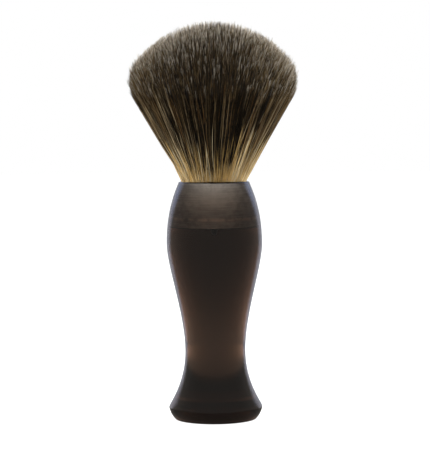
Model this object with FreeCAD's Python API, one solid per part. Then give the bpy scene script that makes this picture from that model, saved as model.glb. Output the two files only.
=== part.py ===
import FreeCAD, Part
import math
import os

# Shaving brush: a turned vase handle of clear smoked resin, bored at its top for a knot of hair.
# Millimetres. The origin is the centre of the flat base, and +Z is the turning axis, towards the hair.

# Handle, turned outline from the base up
HANDLE_HEIGHT = 80.0
FOOT_RADIUS = 15.8          # sharp edge of the foot
FOOT_HEIGHT = 4.05
FOOT_OVERHANG = 2.2         # how far the foot edge stands out past the flat that the brush stands on
FOOT_BEVEL_BOW = 0.16       # how far the bevel under the foot edge bows out, as a share of the overhang
FOOT_FLARE_LEAN = 0.35      # how far the side leans in where it leaves the foot edge
WAIST_RADIUS = 10.17
WAIST_HEIGHT = 23.05
BELLY_RADIUS = 16.1
BELLY_HEIGHT = 59.4
SHOULDER_LEAN = 18.8        # degrees, lean of the side where it meets the rim
RIM_WALL = 0.67             # resin left between the bore and the side at the rim
RIM_ROUND = 0.4             # less than the rim's wall
FOOT_EDGE_ROUND = 0.25
BASE_EDGE_ROUND = 0.3

# Fullness of the side's curves: each is a share of the rise between the two stations that it joins
FOOT_FULLNESS = 0.083
WAIST_FULLNESS_BELOW = 0.58
WAIST_FULLNESS_ABOVE = 0.347
BELLY_FULLNESS_BELOW = 0.228
BELLY_FULLNESS_ABOVE = 0.58
SHOULDER_FULLNESS = 0.10

# Bore in the top of the handle, with the pip that the cutter's centre point leaves in its floor.
# It is as deep as the part of the knot that it holds.
SOCKET_RADIUS = 11.15
PIP_RADIUS = 1.1
PIP_DEPTH = 2.4
PIP_TIP_RADIUS = 0.3

# Adhesive between the knot and the bore
GLUE_FILM = 0.25
GLUE_BED = 0.4
GLUE_RECESS = 0.5           # the adhesive stops this far below the rim

# Knot base, the moulded plug that holds the butts of the hair
PLUG_HEIGHT = 9.0
PLUG_FLOOR = 2.0
PLUG_WALL = 1.0
PLUG_EDGE_CHAMFER = 0.4

# Binding cord round the hair, on top of the plug
CORD_DIAMETER = 0.8
CORD_TURNS = 4
CORD_BEDDING = 0.9          # pitch of the turns as a share of the cord's diameter
CORD_CLEARANCE = 0.3        # straight hair left above the binding before it starts to spread

# Hair
NECK_SPREAD = 3.04          # height over which the hair spreads from its neck to the mouth of the bore
LOFT = 53.4                 # rim to crown
FAN_HALF_ANGLE = 29.7       # degrees
DOME_RADIUS = 33.5
SHOULDER_ROUND = 9.5
HAIR_MOUTH_GAP = 0.25       # gap between the hair and the bore at the mouth
BOND_GAP = 0.02             # gap left between bonded round faces

SAME_PLACE = 0.0001         # how near an edge lies to the place that it is looked up by

base_radius = FOOT_RADIUS - FOOT_OVERHANG
rim_radius = SOCKET_RADIUS + RIM_WALL
plug_radius = SOCKET_RADIUS - GLUE_FILM
neck_radius = plug_radius - PLUG_WALL
mouth_hair_radius = SOCKET_RADIUS - HAIR_MOUTH_GAP
cord_pitch = CORD_DIAMETER * CORD_BEDDING
cord_height = cord_pitch * (CORD_TURNS - 1) + CORD_DIAMETER
neck_top = HANDLE_HEIGHT - NECK_SPREAD
plug_top = neck_top - CORD_CLEARANCE - cord_height
plug_bottom = plug_top - PLUG_HEIGHT
hair_bottom = plug_bottom + PLUG_FLOOR
socket_floor = plug_bottom - GLUE_BED


def at(radius, height):
    """A point of a turned outline, in the XZ half plane."""
    return FreeCAD.Vector(radius, 0, height)


def run(*points):
    """Straight outline edges through the points."""
    return [Part.makeLine(a, b) for a, b in zip(points, points[1:])]


def curve(*poles):
    """A Bezier outline edge."""
    bezier = Part.BezierCurve()
    bezier.setPoles(list(poles))
    return bezier.toShape()


def turned(edges):
    """The solid that a closed outline sweeps round the Z axis."""
    wire = Part.Wire(Part.__sortEdges__(edges))
    solid = Part.Face(wire).revolve(FreeCAD.Vector(0, 0, 0), FreeCAD.Vector(0, 0, 1), 360)
    return Part.Solid(solid) if solid.ShapeType == "Shell" else solid


def ring_edges(solid, radius, height):
    """The circular edges of a solid at one radius and height."""
    found = []
    for edge in solid.Edges:
        if edge.Degenerated or not isinstance(edge.Curve, Part.Circle):
            continue
        off_radius = abs(edge.Curve.Radius - radius)
        off_height = abs(edge.Curve.Center.z - height)
        if max(off_radius, off_height) < SAME_PLACE:
            found.append(edge)
    return found


def handle_side():
    """The side of the handle: foot edge, waist, belly and rim, joined by three smooth curves."""
    waist_rise = WAIST_HEIGHT - FOOT_HEIGHT
    belly_rise = BELLY_HEIGHT - WAIST_HEIGHT
    rim_rise = HANDLE_HEIGHT - BELLY_HEIGHT
    shoulder_pull = rim_rise * SHOULDER_FULLNESS
    shoulder_in = shoulder_pull * math.tan(math.radians(SHOULDER_LEAN))
    foot_to_waist = curve(
        at(FOOT_RADIUS, FOOT_HEIGHT),
        at(FOOT_RADIUS - FOOT_FLARE_LEAN, FOOT_HEIGHT + waist_rise * FOOT_FULLNESS),
        at(WAIST_RADIUS, WAIST_HEIGHT - waist_rise * WAIST_FULLNESS_BELOW),
        at(WAIST_RADIUS, WAIST_HEIGHT),
    )
    waist_to_belly = curve(
        at(WAIST_RADIUS, WAIST_HEIGHT),
        at(WAIST_RADIUS, WAIST_HEIGHT + belly_rise * WAIST_FULLNESS_ABOVE),
        at(BELLY_RADIUS, BELLY_HEIGHT - belly_rise * BELLY_FULLNESS_BELOW),
        at(BELLY_RADIUS, BELLY_HEIGHT),
    )
    belly_to_rim = curve(
        at(BELLY_RADIUS, BELLY_HEIGHT),
        at(BELLY_RADIUS, BELLY_HEIGHT + rim_rise * BELLY_FULLNESS_ABOVE),
        at(rim_radius + shoulder_in, HANDLE_HEIGHT - shoulder_pull),
        at(rim_radius, HANDLE_HEIGHT),
    )
    return [foot_to_waist, waist_to_belly, belly_to_rim]


def foot_bevel():
    """The bowed bevel from the base up to the foot edge."""
    low = at(base_radius, 0)
    high = at(FOOT_RADIUS, FOOT_HEIGHT)
    chord = high - low
    outward = FreeCAD.Vector(chord.z, 0, -chord.x).normalize()
    middle = (low + high) * 0.5 + outward * FOOT_OVERHANG * FOOT_BEVEL_BOW
    return Part.Arc(low, middle, high).toShape()


def bore_outline():
    """The bore's wall, floor and centre pip, from the rim down to the axis."""
    return run(
        at(SOCKET_RADIUS, HANDLE_HEIGHT),
        at(SOCKET_RADIUS, socket_floor),
        at(PIP_RADIUS, socket_floor),
        at(PIP_TIP_RADIUS, socket_floor - PIP_DEPTH),
        at(0, socket_floor - PIP_DEPTH),
    )


def make_handle():
    """Solid turned handle with its bore, and soft edges at the rim, the foot and the base."""
    edges = handle_side() + [foot_bevel()] + bore_outline()
    edges += run(at(SOCKET_RADIUS, HANDLE_HEIGHT), at(rim_radius, HANDLE_HEIGHT))
    edges += run(at(0, socket_floor - PIP_DEPTH), at(0, 0), at(base_radius, 0))
    solid = turned(edges)
    for radius, height, size in (
        (rim_radius, HANDLE_HEIGHT, RIM_ROUND),
        (FOOT_RADIUS, FOOT_HEIGHT, FOOT_EDGE_ROUND),
        (base_radius, 0.0, BASE_EDGE_ROUND),
    ):
        solid = solid.makeFillet(size, ring_edges(solid, radius, height))
    return solid


def make_setting_adhesive():
    """Thin cup of cured adhesive that lines the bore, fills the pip and beds the plug."""
    top = HANDLE_HEIGHT - GLUE_RECESS
    return turned(
        run(
            at(0, socket_floor - PIP_DEPTH),
            at(PIP_TIP_RADIUS, socket_floor - PIP_DEPTH),
            at(PIP_RADIUS, socket_floor),
            at(SOCKET_RADIUS, socket_floor),
            at(SOCKET_RADIUS, top),
            at(plug_radius, top),
            at(plug_radius, plug_bottom),
            at(0, plug_bottom),
            at(0, socket_floor - PIP_DEPTH),
        )
    )


def make_knot_base():
    """Moulded plug: a cup, chamfered below, in which the butts of the hair are set."""
    outer = plug_radius - BOND_GAP
    return turned(
        run(
            at(0, plug_bottom),
            at(outer - PLUG_EDGE_CHAMFER, plug_bottom),
            at(outer, plug_bottom + PLUG_EDGE_CHAMFER),
            at(outer, plug_top),
            at(neck_radius, plug_top),
            at(neck_radius, hair_bottom),
            at(0, hair_bottom),
            at(0, plug_bottom),
        )
    )


def make_binding_cord():
    """The turns of cord that tie the hair together, bedded against each other on the plug."""
    cord_radius = CORD_DIAMETER / 2
    turn_radius = neck_radius + cord_radius
    turns = []
    for index in range(CORD_TURNS):
        height = plug_top + cord_radius + index * cord_pitch
        turns.append(Part.makeTorus(turn_radius, cord_radius, FreeCAD.Vector(0, 0, height)))
    return turns[0].multiFuse(turns[1:]).removeSplitter()


def make_hair_bundle():
    """The hair as one body: straight in the plug and the binding, then fanned out to a dome."""
    crown = HANDLE_HEIGHT + LOFT
    dome_centre = crown - DOME_RADIUS
    slope = math.tan(math.radians(FAN_HALF_ANGLE))
    # The corner is where the fan's cone r = mouth + slope * (z - rim) meets the dome's sphere.
    start = mouth_hair_radius + slope * (dome_centre - HANDLE_HEIGHT)
    share = 1 + slope * slope
    rise = (math.sqrt(share * DOME_RADIUS**2 - start**2) - slope * start) / share
    corner_radius = start + slope * rise
    corner_height = dome_centre + rise
    half_turn = math.atan2(corner_radius, rise) / 2
    dome_middle = at(DOME_RADIUS * math.sin(half_turn), dome_centre + DOME_RADIUS * math.cos(half_turn))
    held_radius = neck_radius - BOND_GAP
    edges = run(
        at(0, crown),
        at(0, hair_bottom),
        at(held_radius, hair_bottom),
        at(held_radius, neck_top),
        at(mouth_hair_radius, HANDLE_HEIGHT),
        at(corner_radius, corner_height),
    )
    edges.append(Part.Arc(at(corner_radius, corner_height), dome_middle, at(0, crown)).toShape())
    solid = turned(edges)
    return solid.makeFillet(SHOULDER_ROUND, ring_edges(solid, corner_radius, corner_height))


MAKERS = {
    "handle": make_handle,
    "setting_adhesive": make_setting_adhesive,
    "knot_base": make_knot_base,
    "binding_cord": make_binding_cord,
    "hair_bundle": make_hair_bundle,
}

os.makedirs("parts", exist_ok=True)
for name, make in MAKERS.items():
    shape = make()
    shape.exportStep(f"parts/{name}.step")
    box = shape.optimalBoundingBox()
    print(f"{name}: {len(shape.Solids)} solid, {shape.Volume / 1000:.2f} cm3, valid {shape.isValid()},")
    print(f"  x {box.XMin:.2f} to {box.XMax:.2f}, z {box.ZMin:.2f} to {box.ZMax:.2f}")
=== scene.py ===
"""Shaving brush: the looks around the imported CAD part. Metres, +Z up, origin at the centre of the base."""

import math

import bpy
import numpy as np
from mathutils import Matrix, Vector


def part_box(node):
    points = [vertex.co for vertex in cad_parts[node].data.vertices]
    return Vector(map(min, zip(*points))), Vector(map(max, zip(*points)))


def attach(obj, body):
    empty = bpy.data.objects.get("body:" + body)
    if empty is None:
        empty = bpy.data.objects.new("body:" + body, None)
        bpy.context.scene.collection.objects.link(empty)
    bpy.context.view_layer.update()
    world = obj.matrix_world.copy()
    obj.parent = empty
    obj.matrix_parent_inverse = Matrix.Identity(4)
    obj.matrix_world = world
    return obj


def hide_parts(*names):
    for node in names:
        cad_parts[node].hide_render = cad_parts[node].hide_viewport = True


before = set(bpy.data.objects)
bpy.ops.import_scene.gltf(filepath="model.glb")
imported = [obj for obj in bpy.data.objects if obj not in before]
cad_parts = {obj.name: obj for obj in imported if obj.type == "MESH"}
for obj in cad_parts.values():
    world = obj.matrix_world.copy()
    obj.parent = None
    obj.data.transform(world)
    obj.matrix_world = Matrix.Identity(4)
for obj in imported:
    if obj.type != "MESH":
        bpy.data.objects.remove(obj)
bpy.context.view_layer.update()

MM = 0.001
SEED = 1123

# Places read from the frame
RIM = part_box("handle")[1].z
BORE_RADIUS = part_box("setting_adhesive")[1].x
GLUE_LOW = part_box("setting_adhesive")[0].z
PLUG_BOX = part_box("knot_base")
CORD_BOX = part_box("binding_cord")
HAIR_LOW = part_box("hair_bundle")[0].z
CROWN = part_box("hair_bundle")[1].z
FAN_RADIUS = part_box("hair_bundle")[1].x


# ---------------------------------------------------------------- small helpers


def new_object(name, data):
    """Links an object for the data and returns it."""
    made = bpy.data.objects.new(name, data)
    bpy.context.scene.collection.objects.link(made)
    return made


def mesh_from_arrays(name, points, faces, smooth=True):
    """A mesh from an array of points and a list of face arrays, each of one corner count."""
    mesh = bpy.data.meshes.new(name)
    corners = np.concatenate([f.ravel() for f in faces]).astype(np.int32)
    totals = np.concatenate([np.full(len(f), f.shape[1], np.int32) for f in faces])
    starts = np.concatenate([[0], np.cumsum(totals)[:-1]]).astype(np.int32)
    mesh.vertices.add(len(points))
    mesh.vertices.foreach_set("co", points.astype(np.float32).ravel())
    mesh.loops.add(len(corners))
    mesh.loops.foreach_set("vertex_index", corners)
    mesh.polygons.add(len(totals))
    mesh.polygons.foreach_set("loop_start", starts)
    mesh.polygons.foreach_set("loop_total", totals)
    mesh.update(calc_edges=True)
    mesh.polygons.foreach_set("use_smooth", np.full(len(totals), smooth))
    mesh.validate()
    return mesh


def lathe(name, outline, sides):
    """A closed turned mesh from (radius, height) points that start and end on the axis."""
    rings = np.array(outline[1:-1])
    angles = np.linspace(0, 2 * np.pi, sides, endpoint=False)
    radius = np.repeat(rings[:, 0:1], sides, axis=1)
    height = np.repeat(rings[:, 1:2], sides, axis=1)
    ring_points = np.stack([radius * np.cos(angles), radius * np.sin(angles), height], axis=2)
    ends = np.array([[0, 0, outline[0][1]], [0, 0, outline[-1][1]]])
    points = np.concatenate([ring_points.reshape(-1, 3), ends])
    first, last = len(points) - 2, len(points) - 1
    j = np.arange(sides)
    k = (j + 1) % sides
    quads = []
    for ring in range(len(rings) - 1):
        a, b = ring * sides, (ring + 1) * sides
        quads.append(np.stack([a + j, a + k, b + k, b + j], axis=1))
    base = (len(rings) - 1) * sides
    start_fan = np.stack([np.full(sides, first), k, j], axis=1)
    end_fan = np.stack([np.full(sides, last), base + j, base + k], axis=1)
    return mesh_from_arrays(name, points, [np.concatenate(quads), start_fan, end_fan])


class Nodes:
    """A short way to write a material's node tree."""

    def __init__(self, tree):
        self.tree = tree
        tree.nodes.clear()

    def add(self, kind, inputs=None, **settings):
        """A new node with its settings, and its inputs set or linked."""
        node = self.tree.nodes.new(kind)
        for key, value in settings.items():
            setattr(node, key, value)
        for key, value in (inputs or {}).items():
            self.set(node.inputs[key], value)
        return node

    def set(self, socket, value):
        """Links a socket or node to an input, or writes a plain value into it."""
        if isinstance(value, bpy.types.NodeSocket):
            self.tree.links.new(value, socket)
        elif isinstance(value, bpy.types.Node):
            self.tree.links.new(value.outputs[0], socket)
        elif isinstance(value, (tuple, list)) and len(value) == 3 and len(socket.default_value) == 4:
            socket.default_value = (*value, 1)
        else:
            socket.default_value = value

    def math(self, operation, a, b=0.0, c=0.0):
        """The result of a math node on up to three values."""
        return self.add("ShaderNodeMath", {0: a, 1: b, 2: c}, operation=operation).outputs[0]

    def smooth_step(self, value, low, high, out_low=0.0, out_high=1.0):
        """Eases from one result to the other as the value goes from low to high."""
        node = self.add(
            "ShaderNodeMapRange",
            {"Value": value, "From Min": low, "From Max": high, "To Min": out_low, "To Max": out_high},
            interpolation_type="SMOOTHSTEP",
        )
        return node.outputs[0]

    def mix_colour(self, factor, a, b, blend="MIX"):
        """Blends the second colour into the first by the factor."""
        node = self.add("ShaderNodeMix", data_type="RGBA", blend_type=blend)
        self.set(node.inputs[0], factor)
        self.set(node.inputs[6], a)
        self.set(node.inputs[7], b)
        return node.outputs[2]


def new_material(name):
    """An empty node material, its tree and its output node."""
    material = bpy.data.materials.new(name)
    material.use_nodes = True
    tree = Nodes(material.node_tree)
    output = tree.add("ShaderNodeOutputMaterial")
    return material, tree, output


def give(piece, material):
    """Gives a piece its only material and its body."""
    piece.data.materials.clear()
    piece.data.materials.append(material)
    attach(piece, "root")


# ---------------------------------------------------------------- camera, stage and light

CAMERA_BACK = 0.6  # from the turning axis
CAMERA_HEIGHT = 0.095
CAMERA_SIDE = 0.00025
CAMERA_DOWN = math.radians(2.815)
CAMERA_ROLL = math.radians(0.5)
CAMERA_LENS = 143.2  # millimetres, on a sensor that is 36 mm wide


def make_camera():
    """A long lens at the height of the lower hair, that looks slightly down."""
    data = bpy.data.cameras.new("camera")
    data.lens = CAMERA_LENS
    data.sensor_width = 36.0
    data.clip_start = 0.01
    data.clip_end = 20.0
    camera = new_object("camera", data)
    camera.location = (CAMERA_SIDE, -CAMERA_BACK, CAMERA_HEIGHT)
    aim = Vector((0, math.cos(CAMERA_DOWN), -math.sin(CAMERA_DOWN)))
    turn = aim.to_track_quat("-Z", "Y").to_matrix().to_4x4()
    roll = Matrix.Rotation(-CAMERA_ROLL, 4, "Z")
    camera.rotation_euler = (turn @ roll).to_euler()
    bpy.context.scene.camera = camera


# What gloss and glass show of the studio, where white is 1. Directions are from the brush, +Y to the back.
GLOSS_FRONT = (0.38, 0.345, 0.315)
GLOSS_BACK = (0.96, 0.93, 1.05)
GLOSS_HIGH = (0.86, 0.98, 1.38)
GLOSS_MIDDLE = (0.66, 0.68, 0.74)  # straight behind the brush
GLASS_SIDE = (2.0, 1.5, 0.9)  # how much more than white the back glows to the sides
GLASS_EDGE = (10.0, 10.0, 13.0)  # and how much more again at the far sides
# painted shadow of the foot, on the floor as seen through the glass
GLASS_FOOT_SHADOW = (0.05, 0.05, 0.05)  # the floor right behind the foot
GLASS_FRONT_NEAR = 8.0  # the floor in front of the brush, near it and further off
GLASS_FRONT_FAR = 0.9
GLASS_DARK = 0.1  # the room in front of the brush and beside it
FLOOR_COLOUR = 0.45
FLOOR_GLOW = 0.8  # added for the camera alone, which sees the floor as white
FLOOR_HALF = 4.0
FILL_FRONT = 0.34  # soft light from the room, in front and behind
FILL_BACK = 1.2
LAMP_AIM = (0, 0, 0.1)


def glass_back(tree, across, glow):
    """White that grows brighter at the far sides, with an amber glow added towards both."""
    square = tree.math("POWER", across, 2.0)
    side = tree.mix_colour(tree.math("MULTIPLY", square, glow), (0, 0, 0), GLASS_SIDE)
    edge = tree.math("MULTIPLY", tree.math("POWER", square, 3.0), glow)
    edge = tree.mix_colour(edge, (1, 1, 1), tuple(1 + part for part in GLASS_EDGE))
    return tree.mix_colour(1.0, edge, side, blend="ADD")


def gloss_light(tree, direction, rise=None):
    """Grey in front and bright behind, which reaches further round and turns bluer higher up.

    How high the light comes from is read from the direction, unless a rise is given.
    """
    split = tree.add("ShaderNodeSeparateXYZ", {0: direction})
    along, up = split.outputs["Y"], tree.math("MAXIMUM", rise or split.outputs["Z"], 0.0)
    reach = tree.math("MULTIPLY_ADD", up, 0.7, along)
    back = tree.mix_colour(tree.smooth_step(up, 0.0, 0.2), GLOSS_BACK, GLOSS_HIGH)
    back = tree.mix_colour(tree.smooth_step(along, 0.78, 0.92), back, GLOSS_MIDDLE)
    return tree.mix_colour(tree.smooth_step(reach, 0.55, 0.77), GLOSS_FRONT, back)


def floor_in_glass(tree, place, direction):
    """Dark close to the brush with a painted shadow, lit in front of it, and white behind with a glow nearby
    to both sides.
    """
    split = tree.add("ShaderNodeSeparateXYZ", {0: direction})
    distance = tree.add("ShaderNodeVectorMath", {0: place}, operation="LENGTH").outputs["Value"]
    near = tree.smooth_step(distance, 0.04, 0.12)
    far = tree.smooth_step(distance, 0.3, 0.65, 1.0, 0.35)
    back = glass_back(tree, split.outputs["X"], tree.math("MULTIPLY", near, far))
    # Painted shadow: near black close to the foot, reaching further out towards the two sides
    shut = tree.math("MULTIPLY_ADD", tree.math("POWER", split.outputs["X"], 2.0), -0.02, distance)
    clear = tree.smooth_step(shut, 0.02, 0.042)
    back = tree.mix_colour(clear, GLASS_FOOT_SHADOW, back)
    toward = tree.math("MULTIPLY_ADD", split.outputs["X"], 0.1, split.outputs["Y"])
    lit = tree.smooth_step(toward, -1.1, 0.6, 1.0, 0.1)
    front = tree.smooth_step(distance, 0.14, 0.34, GLASS_FRONT_NEAR, GLASS_FRONT_FAR)
    front = tree.math("MULTIPLY", lit, front)
    return tree.mix_colour(tree.smooth_step(split.outputs["Y"], 0.45, 0.7), front, back)


def world_in_glass(tree, direction):
    """White behind with a glow to both sides, and dark in front."""
    split = tree.add("ShaderNodeSeparateXYZ", {0: direction})
    low = tree.smooth_step(split.outputs["Z"], 0.0, 0.2, 0.45, 1.0)
    high = tree.smooth_step(split.outputs["Z"], 0.35, 0.7, 1.0, 0.0)
    back = glass_back(tree, split.outputs["X"], tree.math("MULTIPLY", low, high))
    return tree.mix_colour(tree.smooth_step(split.outputs["Y"], 0.3, 0.6), (GLASS_DARK,) * 3, back)


def make_floor():
    """Pale floor that keeps the shadow, white to the camera, and like the studio in gloss and glass."""
    half = FLOOR_HALF
    points = np.array([[-half, -half, 0], [half, -half, 0], [half, half, 0], [-half, half, 0]])
    mesh = mesh_from_arrays("studio_floor", points, [np.array([[0, 1, 2, 3]])], smooth=False)
    floor = new_object("studio_floor", mesh)
    material, tree, output = new_material("studio_floor")
    path = tree.add("ShaderNodeLightPath")
    camera = path.outputs["Is Camera Ray"]
    place = tree.add("ShaderNodeNewGeometry").outputs["Position"]
    direction = tree.add("ShaderNodeVectorMath", {0: place}, operation="NORMALIZE").outputs[0]
    diffuse = tree.add("ShaderNodeBsdfDiffuse", {"Color": (FLOOR_COLOUR,) * 3})
    glow = tree.add("ShaderNodeEmission", {"Strength": tree.math("MULTIPLY", camera, FLOOR_GLOW)})
    direct = tree.add("ShaderNodeAddShader", {0: diffuse, 1: glow})
    distance = tree.add("ShaderNodeVectorMath", {0: place}, operation="LENGTH").outputs["Value"]
    shade = tree.smooth_step(distance, 0.02, 0.08, 0.5, 1.0)
    gloss = tree.mix_colour(shade, (0, 0, 0), gloss_light(tree, direction))
    in_gloss = tree.add("ShaderNodeEmission", {"Color": gloss})
    in_glass = tree.add("ShaderNodeEmission", {"Color": floor_in_glass(tree, place, direction)})
    seen = tree.add("ShaderNodeMixShader", {0: path.outputs["Is Glossy Ray"], 1: direct, 2: in_gloss})
    seen = tree.add("ShaderNodeMixShader", {0: path.outputs["Is Transmission Ray"], 1: seen, 2: in_glass})
    tree.set(output.inputs["Surface"], seen)
    mesh.materials.append(material)


BACKDROP_RADIUS = 0.3
BACKDROP_HEIGHT = 1.0
BACKDROP_EYE = (0, 0, 0.085)  # where on the brush the directions to the backdrop start
BACKDROP_LOW = 0.07  # the height at which its rise is 0
BACKDROP_RISE = 2.55  # how much the rise grows for each metre


def make_backdrop():
    """A curved backdrop that shows in gloss alone, bluer and brighter round the sides further up."""
    turns = np.linspace(0.02 * np.pi, 0.98 * np.pi, 49)
    ring = np.stack([np.cos(turns), np.sin(turns)], axis=1) * BACKDROP_RADIUS
    low = np.column_stack([ring, np.full(len(ring), 0.001)])
    high = np.column_stack([ring, np.full(len(ring), BACKDROP_HEIGHT)])
    j = np.arange(len(ring) - 1)
    quads = np.stack([j, j + 1, j + 1 + len(ring), j + len(ring)], axis=1)
    mesh = mesh_from_arrays("studio_backdrop", np.concatenate([low, high]), [quads])
    backdrop = new_object("studio_backdrop", mesh)
    material, tree, output = new_material("studio_backdrop")
    place = tree.add("ShaderNodeNewGeometry").outputs["Position"]
    height = tree.add("ShaderNodeSeparateXYZ", {0: place}).outputs["Z"]
    seen_from = tree.add("ShaderNodeVectorMath", {0: place, 1: BACKDROP_EYE}, operation="SUBTRACT")
    direction = tree.add("ShaderNodeVectorMath", {0: seen_from.outputs[0]}, operation="NORMALIZE")
    rise = tree.math("MULTIPLY", tree.math("SUBTRACT", height, BACKDROP_LOW), BACKDROP_RISE)
    gloss = tree.add("ShaderNodeEmission", {"Color": gloss_light(tree, direction.outputs[0], rise)})
    open_air = tree.add("ShaderNodeBsdfTransparent")
    path = tree.add("ShaderNodeLightPath")
    seen = tree.add("ShaderNodeMixShader", {0: path.outputs["Is Glossy Ray"], 1: open_air, 2: gloss})
    seen = tree.add("ShaderNodeMixShader", {0: path.outputs["Is Transmission Ray"], 1: seen, 2: open_air})
    tree.set(output.inputs["Surface"], seen)
    mesh.materials.append(material)


def make_world():
    """White to the camera, a soft fill that is stronger behind, and the studio in gloss and glass."""
    world = bpy.data.worlds.new("studio")
    bpy.context.scene.world = world
    world.use_nodes = True
    tree = Nodes(world.node_tree)
    output = tree.add("ShaderNodeOutputWorld")
    path = tree.add("ShaderNodeLightPath")
    direction = tree.add("ShaderNodeTexCoord").outputs["Generated"]
    along = tree.add("ShaderNodeSeparateXYZ", {0: direction}).outputs["Y"]
    fill = tree.smooth_step(along, -0.3, 0.7, FILL_FRONT, FILL_BACK)
    colour = tree.mix_colour(path.outputs["Is Glossy Ray"], fill, gloss_light(tree, direction))
    colour = tree.mix_colour(path.outputs["Is Transmission Ray"], colour, world_in_glass(tree, direction))
    colour = tree.mix_colour(path.outputs["Is Camera Ray"], colour, (1, 1, 1))
    background = tree.add("ShaderNodeBackground", {"Color": colour})
    tree.set(output.inputs["Surface"], background)


def make_lamp(name, place, size, power):
    """A soft rectangular lamp that faces the brush and shows neither in gloss nor through glass."""
    data = bpy.data.lights.new(name, "AREA")
    data.shape = "RECTANGLE"
    data.size, data.size_y = size
    data.energy = power
    lamp = new_object(name, data)
    lamp.location = place
    lamp.rotation_euler = (Vector(LAMP_AIM) - Vector(place)).to_track_quat("-Z", "Y").to_euler()
    lamp.visible_glossy = False
    lamp.visible_transmission = False


def make_lights():
    """A softbox above, one in front and one on each side."""
    make_lamp("top_softbox", (0, 0.2, 0.95), (0.7, 0.7), 5.5)
    make_lamp("front_softbox", (0, -0.78, 0.56), (0.9, 0.5), 2.0)
    make_lamp("left_softbox", (-0.8, 0.05, 0.3), (0.5, 0.7), 8.5)
    make_lamp("right_softbox", (0.8, 0.05, 0.3), (0.5, 0.7), 8.5)


# ---------------------------------------------------------------- handle

RESIN_DENSITY = 250.0  # per metre
RESIN_CLEAR = (0.284, 0.16, 0.06)  # 1 in a channel would let all its light through
RESIN_IOR = 1.49


def resin_material():
    """Clear smoked resin, darkened by its depth, with a polished, very slightly uneven surface."""
    material, tree, output = new_material("smoked_resin")
    place = tree.add("ShaderNodeTexCoord").outputs["Object"]
    polish = tree.add("ShaderNodeTexNoise", {"Vector": place, "Scale": 140.0, "Detail": 3.0})
    rough = tree.smooth_step(polish.outputs[0], 0.3, 0.75, 0.01, 0.03)
    shader = tree.add(
        "ShaderNodeBsdfPrincipled",
        {
            "Base Color": (1, 1, 1),
            "Roughness": rough,
            "IOR": RESIN_IOR,
            "Transmission Weight": 1.0,
        },
    )
    depth = tree.add("ShaderNodeVolumeAbsorption", {"Color": RESIN_CLEAR, "Density": RESIN_DENSITY})
    tree.set(output.inputs["Surface"], shader)
    tree.set(output.inputs["Volume"], depth)
    return material


def make_handle():
    """The handle keeps its CAD shape, in clear resin."""
    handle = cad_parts["handle"]
    handle.data.materials.clear()
    handle.data.materials.append(resin_material())


# ---------------------------------------------------------------- what the bore holds

PLUG_LOW = PLUG_BOX[0].z
# painted shade: the adhesive's colour is made darker deep in the bore, where less light reaches it
DEEP_SHADE_LOW = PLUG_LOW + 0.25 * (RIM - PLUG_LOW)  # the adhesive is darker deep in the bore
DEEP_SHADE_TOP = PLUG_LOW + 0.6 * (RIM - PLUG_LOW)
WARM_RING = PLUG_LOW + 2.6 * MM  # height of a patchy, warmer ring low in the adhesive
WARM_REACH = 0.9 * MM  # how far the ring fades up and down
GLUE_FILM = 0.25 * MM  # adhesive between the plug and the wall of the bore
GLUE_BED = 0.4 * MM  # and under the plug
PIP_RADIUS = 1.1 * MM  # of the pip in the bore's floor, at its mouth and at its tip
PIP_TIP_RADIUS = 0.3 * MM
CUP_LIP = 0.03 * MM  # the adhesive ends this far below the rim
CUP_STEPS = 30
WET = 0.04 * MM  # the adhesive wets the resin, so its skin lies just inside it


def adhesive_material():
    """Satin adhesive with fine turning marks round it, with painted shade that darkens it deep in the bore
    and makes it near black at its lip and in the floor's pip.
    """
    material, tree, output = new_material("cured_adhesive")
    place = tree.add("ShaderNodeTexCoord").outputs["Object"]
    height = tree.add("ShaderNodeSeparateXYZ", {0: place}).outputs["Z"]
    stretch = tree.add("ShaderNodeVectorMath", {0: place, 1: (160.0, 160.0, 3800.0)}, operation="MULTIPLY")
    marks = tree.add("ShaderNodeTexNoise", {"Vector": stretch.outputs[0], "Scale": 1.0, "Detail": 3.0})
    cloud = tree.add("ShaderNodeTexNoise", {"Vector": place, "Scale": 420.0, "Detail": 5.0})
    mottle = tree.math("MULTIPLY", marks.outputs[0], 0.45)
    mottle = tree.math("MULTIPLY_ADD", cloud.outputs[0], 0.55, mottle)
    colour = tree.mix_colour(
        tree.smooth_step(mottle, 0.35, 0.65), (0.12, 0.112, 0.101), (0.22, 0.206, 0.185)
    )
    # Painted shade, darker deep in the bore
    deep = tree.smooth_step(height, DEEP_SHADE_LOW, DEEP_SHADE_TOP, 0.6, 1.0)
    colour = tree.mix_colour(deep, (0, 0, 0), colour)
    off_ring = tree.math("ABSOLUTE", tree.math("SUBTRACT", height, WARM_RING))
    patchy = tree.smooth_step(cloud.outputs[0], 0.3, 0.62)
    ring = tree.math("MULTIPLY", tree.smooth_step(off_ring, 0.0, WARM_REACH, 0.4, 0.0), patchy)
    colour = tree.mix_colour(ring, colour, (0.34, 0.24, 0.19))
    # Painted shade: near black just under the rim and in the floor's pip, where the light is shut out
    lip = tree.smooth_step(height, RIM - 0.9 * MM, RIM - 0.35 * MM)
    pip = tree.smooth_step(height, PLUG_LOW - 0.25 * MM, PLUG_LOW + 0.05 * MM, 1.0, 0.0)
    dark = tree.math("MAXIMUM", lip, pip)
    colour = tree.mix_colour(dark, colour, (0.006, 0.006, 0.006))
    rough = tree.smooth_step(cloud.outputs[0], 0.3, 0.7, 0.42, 0.52)
    bump = tree.add("ShaderNodeBump", {"Height": mottle, "Strength": 0.3, "Distance": 0.0001})
    shader = tree.add(
        "ShaderNodeBsdfPrincipled",
        {"Base Color": colour, "Roughness": rough, "Metallic": 0.8, "Normal": bump.outputs[0]},
    )
    tree.set(output.inputs["Surface"], shader)
    return material


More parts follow.
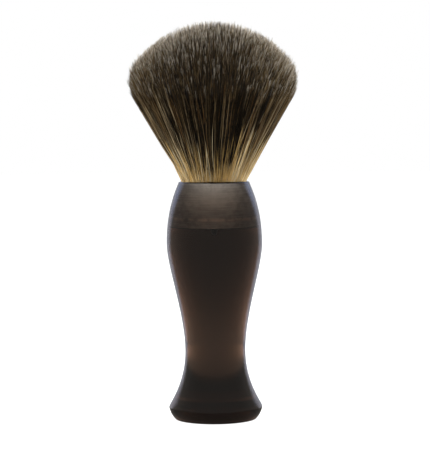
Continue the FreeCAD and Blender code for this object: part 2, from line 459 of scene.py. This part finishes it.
def make_adhesive():
    """The cured adhesive as a cup that wets the bore and fills its pip, up to a lip at the mouth."""
    outer = BORE_RADIUS + WET
    inner = BORE_RADIUS - GLUE_FILM
    bed = PLUG_LOW
    floor = bed - GLUE_BED - WET
    lip = RIM - CUP_LIP
    outline = [(0, GLUE_LOW - WET), (PIP_TIP_RADIUS + WET, GLUE_LOW - WET), (PIP_RADIUS + WET, floor)]
    outline += [(outer * share, floor) for share in (0.4, 0.7, 0.9, 0.99, 1.0)]
    outline += [(outer, floor + (lip - floor) * step / CUP_STEPS) for step in range(1, CUP_STEPS + 1)]
    outline += [(inner, lip), (inner, bed), (0, bed)]
    cup = new_object("glue_cup", lathe("glue_cup", outline, 128))
    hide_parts("setting_adhesive")
    give(cup, adhesive_material())


def plain_material(name, dark, light, scale, rough):
    """A matt material whose colour drifts between two near tones."""
    material, tree, output = new_material(name)
    place = tree.add("ShaderNodeTexCoord").outputs["Object"]
    cloud = tree.add("ShaderNodeTexNoise", {"Vector": place, "Scale": scale, "Detail": 4.0})
    colour = tree.mix_colour(tree.smooth_step(cloud.outputs[0], 0.3, 0.7), dark, light)
    shader = tree.add("ShaderNodeBsdfPrincipled", {"Base Color": colour, "Roughness": rough})
    tree.set(output.inputs["Surface"], shader)
    return material


def finish_held_nodes():
    """The plug and the binding cord keep their CAD shape, with their own materials."""
    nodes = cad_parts
    nodes["knot_base"].data.materials.clear()
    nodes["knot_base"].data.materials.append(
        plain_material("knot_resin", (0.42, 0.33, 0.2), (0.58, 0.47, 0.31), 300.0, 0.4)
    )
    nodes["binding_cord"].data.materials.clear()
    nodes["binding_cord"].data.materials.append(
        plain_material("twine", (0.5, 0.44, 0.33), (0.72, 0.66, 0.54), 900.0, 0.85)
    )


# ---------------------------------------------------------------- hair

GROUP_STARTS = (0, 48, 80, 100, 108, 128)  # columns of banded, tan, pale, rust and dark hairs
VARIANTS = GROUP_STARTS[-1]
TUFTS = 12
STRANDS = 36000
RINGS = 7  # stations along each hair
CLUMPS = 6500
OUTERMOST = 0.995  # a hair's share of the fan runs from 0 on the axis to 1 at the side
STRAY_SHARE = 0.12  # hairs that cross and bow more than the rest
LOW_SHARE = 0.2  # hairs whose tips lie well under the others
LONG_SHARE = 0.09  # near the side, hairs that run on past their neighbours
LONG_FROM = 0.6  # share of the fan
LONG_RISE = (1.5, 9.0)  # millimetres
LONG_TOP = CROWN - 5 * MM
TIP_LIFT = 0.1 * MM  # tips start this far above the CAD outline, before they are shortened
MOUTH_GAP = 0.25 * MM  # between the hair and the bore at its mouth
MOUTH_RADIUS = BORE_RADIUS - MOUTH_GAP
HAIR_START = RIM - 2.5 * MM
HAIR_RADIUS = 0.066 * MM
TIP_POINT = 0.3 * MM  # from the last station to the pointed end
CORE_DEPTH = 2.6 * MM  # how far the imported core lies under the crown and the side
CORE_NECK_DEPTH = 1.2 * MM  # and under the side at the rim, from where it deepens
CORE_NECK_HEIGHT = 12 * MM
CORE_IN_CORD = 0.9 * MM  # from the outside of the cord in to the core


def bundle_outline():
    """The side of the CAD bundle above the rim, as heights and the radius at each."""
    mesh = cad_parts["hair_bundle"].data
    points = np.empty(len(mesh.vertices) * 3)
    mesh.vertices.foreach_get("co", points)
    points = points.reshape(-1, 3)
    radius = np.hypot(points[:, 0], points[:, 1])
    heights = np.linspace(RIM, CROWN, 240)
    known = {}
    for z, r in zip(np.round(points[:, 2], 5), radius):
        known[z] = max(known.get(z, 0), r)
    zs = np.array(sorted(known))
    rs = np.array([known[z] for z in zs])
    return heights, np.interp(heights, zs, rs)


def fan_slope(heights, radii):
    """Slope of the fan's straight side, from the part of the outline just above the rim."""
    low, high = np.searchsorted(heights, (RIM + 2 * MM, RIM + 24 * MM))
    return (radii[high] - radii[low]) / (heights[high] - heights[low])


def tip_heights(heights, radii, slope):
    """For hairs that fan out at shares of the side's slope, the height where each meets the outline."""
    shares = np.linspace(0, 1, 120)
    cone = MOUTH_RADIUS + slope * (heights - RIM)
    inside = shares[:, None] * cone[None, :] <= radii[None, :] + 1e-6
    last = inside.shape[1] - 1 - np.argmax(inside[:, ::-1], axis=1)
    return shares, heights[last]


def strand_paths(rng, count):
    """Hairs as count x RINGS points, with the place along each, its turn and its clump.

    The place along a hair is 0 at its root in the bore and 1 at its tip.
    """
    heights, radii = bundle_outline()
    slope = fan_slope(heights, radii)
    shares, tops = tip_heights(heights, radii, slope)

    share = np.sqrt(rng.random(count)) * OUTERMOST
    turn = rng.random(count) * 2 * np.pi
    root_share = np.clip(share + rng.normal(0, 0.012, count), 0, OUTERMOST)
    root_turn = turn + rng.normal(0, 0.035, count)
    stray = rng.random(count) < STRAY_SHARE
    root_turn[stray] += rng.normal(0, 0.12, stray.sum())

    top = np.interp(share, shares, tops)
    # Tips end unevenly under the outline: most of them close to it, and some much lower
    short = rng.gamma(1.4, 0.4, count) * MM - TIP_LIFT
    low = rng.random(count) < LOW_SHARE
    short[low] += rng.exponential(1.6, low.sum()) * MM
    top_radius = share * (MOUTH_RADIUS + slope * (top - RIM))
    across = top_radius * np.cos(turn)
    # The crown dips a little on the left, and the outermost hairs are shorter
    short += 0.5 * MM * np.exp(-(((across + 18.5 * MM) / (7 * MM)) ** 2))
    short += 1.5 * MM * np.clip((share - 0.82) / 0.18, 0, 1)

    def fan(part_share, part_turn, height):
        """Points on straight hairs that spread from the mouth of the bore."""
        spread = part_share * (MOUTH_RADIUS + slope * np.maximum(height - RIM, 0))
        return np.stack([spread * np.cos(part_turn), spread * np.sin(part_turn), height], axis=-1)

    # Tips lean together in small clumps
    clump_share = np.sqrt(rng.random(CLUMPS))
    clump_turn = rng.random(CLUMPS) * 2 * np.pi
    clump_at = np.stack([clump_share * np.cos(clump_turn), clump_share * np.sin(clump_turn)], axis=1)
    own_at = np.stack([share * np.cos(turn), share * np.sin(turn)], axis=1)
    nearest = np.empty(count, int)
    for first in range(0, count, 1000):
        part = own_at[first : first + 1000]
        nearest[first : first + 1000] = ((part[:, None] - clump_at[None]) ** 2).sum(2).argmin(1)
    top = top - short + rng.normal(0, 0.35 * MM, CLUMPS)[nearest]
    root = fan(root_share, root_turn, np.full(count, HAIR_START))
    long_hair = (rng.random(count) < LONG_SHARE) & (share > LONG_FROM)
    top[long_hair] += rng.uniform(*LONG_RISE, long_hair.sum()) * MM
    top[long_hair] = np.minimum(top[long_hair], LONG_TOP)
    tip = fan(share, turn, top)
    lean = (clump_at[nearest] - own_at) * rng.uniform(0.45, 0.95, count)[:, None]
    lean *= (MOUTH_RADIUS + slope * (top - RIM))[:, None]

    # Hairs in the middle start inside the core, the others in the bore, with a bend at the rim
    kink = (RIM - HAIR_START) / (tip[:, 2] - HAIR_START)
    begin = np.clip((0.8 - share) / 0.8, 0, 0.8) * 0.75
    begin = np.where(begin < 0.06, 0, begin)
    spaced = begin[:, None] + (1 - begin[:, None]) * np.linspace(0, 1, RINGS)[None, :]
    bent = kink[:, None] + (1 - kink[:, None]) * np.linspace(0, 1, RINGS - 1)[None, :]
    bent = np.concatenate([np.zeros((count, 1)), bent], axis=1)
    along = np.where(begin[:, None] > 0, spaced, bent)
    past = np.clip((along - kink[:, None]) / (1 - kink[:, None]), 0, 1)[:, :, None]
    path = root[:, None] + (tip - root)[:, None] * past
    path[:, :, 2] = root[:, None, 2] + (tip - root)[:, None, 2] * along
    # Each hair bows sideways. The outer ones are drawn in a little, and on the left most of all just
    # above the rim
    outward = np.stack([np.cos(turn), np.sin(turn)], axis=1)
    sideways = np.stack([-np.sin(turn), np.cos(turn)], axis=1)
    side_bow = rng.normal(0, 0.3 * MM, count)
    side_bow[stray] *= 3.0
    inward = (0.1 * MM + np.abs(rng.normal(0, 0.3 * MM, count))) * share**2
    bow = (side_bow[:, None] * sideways - inward[:, None] * outward)[:, None]
    neck = (0.8 * MM * share**2 * np.clip(-np.cos(turn), 0, 1))[:, None] * outward
    drift = rng.normal(0, 0.13 * MM, (count, 1, 2))
    path[:, :, :2] += bow * np.sin(np.pi * past) ** 0.7 + drift * past**2
    path[:, :, :2] += lean[:, None] * np.clip((past - 0.55) / 0.45, 0, 1) ** 2
    path[:, :, :2] -= neck[:, None] * np.clip(past / 0.1, 0, 1) * np.clip((0.45 - past) / 0.35, 0, 1)
    # The long ones bend in at the top, just inside the side of the bundle
    away = np.hypot(path[:, :, 0], path[:, :, 1])
    most = np.interp(path[:, :, 2], heights, radii) - rng.uniform(0.2, 1.1, count)[:, None] * MM
    draw_in = np.where(long_hair[:, None], np.minimum(most / np.maximum(away, MM), 1), 1)
    path[:, :, :2] *= draw_in[:, :, None]
    return path, along, turn, nearest


def choose_variants(rng, path, turn, nearest):
    """Column of the colour map for each hair: banded ones, then tan, pale, rust and wholly dark ones.

    Even columns have the pale tips, which are commoner at the crown and out to both sides: from lower
    down on the right, and more of them further up on the left. At the sides and on the left this is
    painted light, where light falls from behind and beside; at the crown it is partly the tips' own
    colour and partly painted light from above.
    """
    count = len(turn)
    # Most hairs draw a kind of their own, and the rest share their clump's
    own = rng.random(count) < 0.72
    kind, pick = rng.random(CLUMPS)[nearest], rng.random(CLUMPS)[nearest]
    kind[own] = rng.random(own.sum())
    pick[own] = rng.random(own.sum())
    # Painted light: out to the two sides there are more pale and tan hairs and fewer wholly dark ones, and a
    # few more pale ones on the right, where light from behind and beside falls
    pale = 0.04 + 0.14 * np.cos(turn) ** 2 + 0.04 * np.clip(np.cos(turn), 0, 1)
    rust = pale + 0.05
    dark = rust + 0.3 - 0.14 * np.cos(turn) ** 2
    tan = dark + 0.1 + 0.3 * np.cos(turn) ** 2
    group = np.select([kind < pale, kind < rust, kind < dark, kind < tan], [2, 3, 4, 1], 0)
    heights, radii = bundle_outline()
    widest = heights[np.argmax(radii)]
    rise = np.clip((path[:, -1, 2] - widest) / (CROWN - widest), 0, 1)
    out = np.abs(path[:, -1, 0]) / FAN_RADIUS
    left = np.clip(-path[:, -1, 0] / FAN_RADIUS, 0, 1)
    # Painted light in good part: pale tips are likelier up the crown, out to the sides and further up on the
    # left
    edge = out**1.5 * np.clip(np.where(left > 0, 0.15, 0.6) + 2 * rise, 0, 1)
    chance = np.where(rng.random(count) < 0.15, rng.random(count), rng.random(CLUMPS)[nearest])
    pale_tip = chance < 0.1 + 0.6 * rise**2 + 0.7 * edge + 0.35 * rise * left
    lows, highs = np.array(GROUP_STARTS[:-1]), np.array(GROUP_STARTS[1:])
    pairs = (highs - lows) // 2
    return lows[group] + 2 * (pick * pairs[group]).astype(int) + np.where(pale_tip, 0, 1)


def strand_mesh(name, path, along, turn_of, variant, rng):
    """Closed three-sided tapered strands along the paths, with the colour map's UVs."""
    count, rings, _ = path.shape
    sides = 3
    swell = 0.8 + 0.45 * np.sin(np.pi * np.clip(along, 0, 1)) ** 0.8
    girth = HAIR_RADIUS * swell * (1 - along**8 * 0.72)
    size = rng.uniform(0.75, 1.3, count)
    tangent = np.gradient(path, axis=1)
    tangent /= np.linalg.norm(tangent, axis=2, keepdims=True)
    across = np.cross(tangent, np.array([1.0, 0.0, 0.0]))
    across /= np.linalg.norm(across, axis=2, keepdims=True)
    other = np.cross(tangent, across)
    spin = rng.random(count) * 2 * np.pi
    ring_points = []
    for side in range(sides):
        turn = spin + side * 2 * np.pi / sides
        offset = np.cos(turn)[:, None, None] * across + np.sin(turn)[:, None, None] * other
        ring_points.append(path + offset * (girth * size[:, None])[:, :, None])
    body = np.stack(ring_points, axis=2).reshape(count, rings * sides, 3)
    tip = path[:, -1:] + tangent[:, -1:] * TIP_POINT
    points = np.concatenate([body, tip], axis=1)
    per = rings * sides + 1

    quads, quad_rings = [], []
    for ring in range(rings - 1):
        for side in range(sides):
            nxt = (side + 1) % sides
            a, b = ring * sides, (ring + 1) * sides
            quads.append([a + side, a + nxt, b + nxt, b + side])
            quad_rings.append([ring, ring, ring + 1, ring + 1])
    last = (rings - 1) * sides
    tris, tri_rings = [[2, 1, 0]], [[0, 0, 0]]
    for side in range(sides):
        tris.append([last + side, last + (side + 1) % sides, rings * sides])
        tri_rings.append([rings - 1, rings - 1, rings])
    shift = (np.arange(count) * per)[:, None, None]
    quads = (np.array(quads)[None] + shift).reshape(-1, 4)
    tris = (np.array(tris)[None] + shift).reshape(-1, 3)
    mesh = mesh_from_arrays(name, points.reshape(-1, 3), [quads, tris])

    # The pale roots reach further up at the two sides, and most at the right: in part painted light, for the
    # light that falls on the sides from behind and beside
    aside = np.cos(turn_of[:, None])
    lobe = np.clip((aside - 0.22) / 0.36, 0, 1) - 0.6 * np.clip((aside - 0.75) / 0.25, 0, 1)
    level = along ** (0.92 + np.where(aside > 0, 0.6 * lobe, 0.4 * aside**4))
    level = np.concatenate([level * 0.985, np.ones((count, 1))], axis=1)
    # Across its column of the colour map a hair stays clear of the columns beside it
    start, end = 0.2, 0.8
    uvs = []
    for table, across_map in ((quad_rings, (start, end, end, start)), (tri_rings, (start, end, 0.5))):
        v = 0.005 + 0.99 * level[:, np.array(table)]
        u = (variant[:, None, None] + np.array(across_map)[None, None, :]) / VARIANTS
        uvs.append(np.stack([np.broadcast_to(u, v.shape), v], axis=3).reshape(-1, 2))
    layer = mesh.uv_layers.new(name="OFBake")
    layer.uv.foreach_set("vector", np.concatenate(uvs).astype(np.float32).ravel())
    return mesh


def hair_material():
    """Badger hair: pale root, dark band and grey-cream tip, which differ from hair to hair."""
    material, tree, output = new_material("badger_hair")
    uv = tree.add("ShaderNodeUVMap", uv_map="OFBake").outputs[0]
    split = tree.add("ShaderNodeSeparateXYZ", {0: uv})
    column = tree.math("FLOOR", tree.math("MULTIPLY", split.outputs["X"], VARIANTS))
    along = split.outputs["Y"]
    chance = tree.add("ShaderNodeTexWhiteNoise", {"W": column}, noise_dimensions="1D")
    three = tree.add("ShaderNodeSeparateColor", {0: chance.outputs["Color"]})
    one, two, third = three.outputs[0], three.outputs[1], three.outputs[2]
    # Each of these is 1 from its own group's first column on, also in the groups that follow
    from_tan, from_pale, from_rust, from_dark = (
        tree.math("GREATER_THAN", column, start - 0.5) for start in GROUP_STARTS[1:-1]
    )

    root_end = tree.math("ADD", 0.15, tree.math("MULTIPLY", tree.math("POWER", one, 2.6), 0.45))
    longer = tree.math("MULTIPLY", from_tan, tree.math("MULTIPLY", two, 0.15))
    root_end = tree.math("ADD", root_end, longer)
    root_end = tree.math("SUBTRACT", root_end, tree.math("MULTIPLY", from_dark, 0.1))
    root_low = tree.math("SUBTRACT", root_end, 0.09)
    root_high = tree.math("ADD", root_end, 0.09)
    to_dark = tree.smooth_step(along, root_low, root_high)
    tip_start = tree.math("SUBTRACT", 0.985, tree.math("MULTIPLY", tree.math("POWER", two, 3.0), 0.06))
    tip_low = tree.math("SUBTRACT", tip_start, 0.05)
    tip_high = tree.math("ADD", tip_start, 0.01)
    to_tip = tree.smooth_step(along, tip_low, tip_high)

    # Odd columns have brown tips, and golden roots in every group but the tan one
    is_odd = tree.math("MODULO", column, 2.0)
    not_tan = tree.math("SUBTRACT", 1.0, tree.math("SUBTRACT", from_tan, from_pale))
    pale_root = tree.mix_colour(two, (0.49, 0.375, 0.20), (0.72, 0.60, 0.385))
    gold_root = tree.mix_colour(two, (0.46, 0.285, 0.093), (0.72, 0.49, 0.20))
    root = tree.mix_colour(tree.math("MULTIPLY", is_odd, not_tan), pale_root, gold_root)
    band = tree.mix_colour(one, (0.010, 0.0075, 0.005), (0.034, 0.023, 0.011))
    tan_band = tree.mix_colour(third, (0.08, 0.05, 0.022), (0.24, 0.165, 0.08))
    pale_band = tree.mix_colour(third, (0.17, 0.12, 0.06), (0.48, 0.37, 0.22))
    rust_band = tree.mix_colour(third, (0.13, 0.07, 0.024), (0.22, 0.12, 0.045))
    band = tree.mix_colour(from_tan, band, tan_band)
    band = tree.mix_colour(from_pale, band, pale_band)
    band = tree.mix_colour(from_rust, band, rust_band)
    band = tree.mix_colour(from_dark, band, (0.010, 0.008, 0.006))
    pale_tip = tree.mix_colour(third, (0.46, 0.39, 0.29), (0.95, 0.87, 0.73))
    brown_tip = tree.mix_colour(third, (0.03, 0.02, 0.009), (0.15, 0.10, 0.045))
    tip = tree.mix_colour(is_odd, pale_tip, brown_tip)
    tip = tree.mix_colour(from_dark, tip, (0.05, 0.037, 0.026))
    colour = tree.mix_colour(to_dark, root, band)
    colour = tree.mix_colour(to_tip, colour, tip)
    shader = tree.add("ShaderNodeBsdfPrincipled", {"Base Color": colour, "Roughness": 0.45})
    shader.inputs["Specular IOR Level"].default_value = 0.06
    tree.set(output.inputs["Surface"], shader)
    return material


def make_hair_core(material):
    """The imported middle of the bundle, which shuts off the view between the outer hairs."""
    heights, radii = bundle_outline()
    held = CORD_BOX[1].x - CORE_IN_CORD
    outline = [(0, HAIR_LOW), (held, HAIR_LOW), (held, CORD_BOX[1].z)]
    drop = np.interp(heights, (RIM, CROWN), (0, CORE_DEPTH))
    inset = np.interp(heights, (RIM, RIM + CORE_NECK_HEIGHT), (CORE_NECK_DEPTH, CORE_DEPTH))
    for index in np.linspace(0, len(heights) - 1, 40).astype(int)[:-1]:
        outline.append((max(radii[index] - inset[index], 0.5 * MM), heights[index] - drop[index]))
    outline.append((0, CROWN - CORE_DEPTH))
    core = new_object("hair_core", lathe("hair_core", outline, 96))
    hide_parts("hair_bundle")
    give(core, material)


def core_material():
    """Near black between the hairs, painted shade for the packed hairs in the shade of the others, and brown
    like their roots close to the rim.
    """
    material, tree, output = new_material("hair_depth")
    place = tree.add("ShaderNodeTexCoord").outputs["Object"]
    height = tree.add("ShaderNodeSeparateXYZ", {0: place}).outputs["Z"]
    squeeze = tree.add("ShaderNodeVectorMath", {0: place, 1: (900.0, 900.0, 40.0)}, operation="MULTIPLY")
    fibre = tree.add("ShaderNodeTexNoise", {"Vector": squeeze.outputs[0], "Scale": 1.0, "Detail": 3.0})
    # Painted shade: the packed hairs are near black, as in the shade of the hairs round them
    dark = tree.mix_colour(fibre.outputs[0], (0.005, 0.004, 0.003), (0.018, 0.013, 0.009))
    root = tree.mix_colour(fibre.outputs[0], (0.20, 0.12, 0.05), (0.40, 0.28, 0.13))
    colour = tree.mix_colour(tree.smooth_step(height, RIM + 4 * MM, RIM + 14 * MM), root, dark)
    shader = tree.add("ShaderNodeBsdfPrincipled", {"Base Color": colour, "Roughness": 0.8})
    tree.set(output.inputs["Surface"], shader)
    return material


def make_hair():
    """All the hairs, in tufts round the knot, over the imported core."""
    rng = np.random.default_rng(SEED)
    make_hair_core(core_material())
    path, along, turn, nearest = strand_paths(rng, STRANDS)
    variant = choose_variants(rng, path, turn, nearest)
    material = hair_material()
    sector = (turn / (2 * np.pi) * TUFTS).astype(int) % TUFTS
    for tuft in range(TUFTS):
        mine = sector == tuft
        name = f"hair_tuft_{tuft + 1:02d}"
        piece = new_object(name, strand_mesh(name, path[mine], along[mine], turn[mine], variant[mine], rng))
        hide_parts("hair_bundle")
        give(piece, material)


# ---------------------------------------------------------------- the scene


bpy.context.scene.view_settings.view_transform = "Standard"
make_camera()
make_world()
make_floor()
make_backdrop()
make_lights()
make_handle()
make_adhesive()
finish_held_nodes()
make_hair()
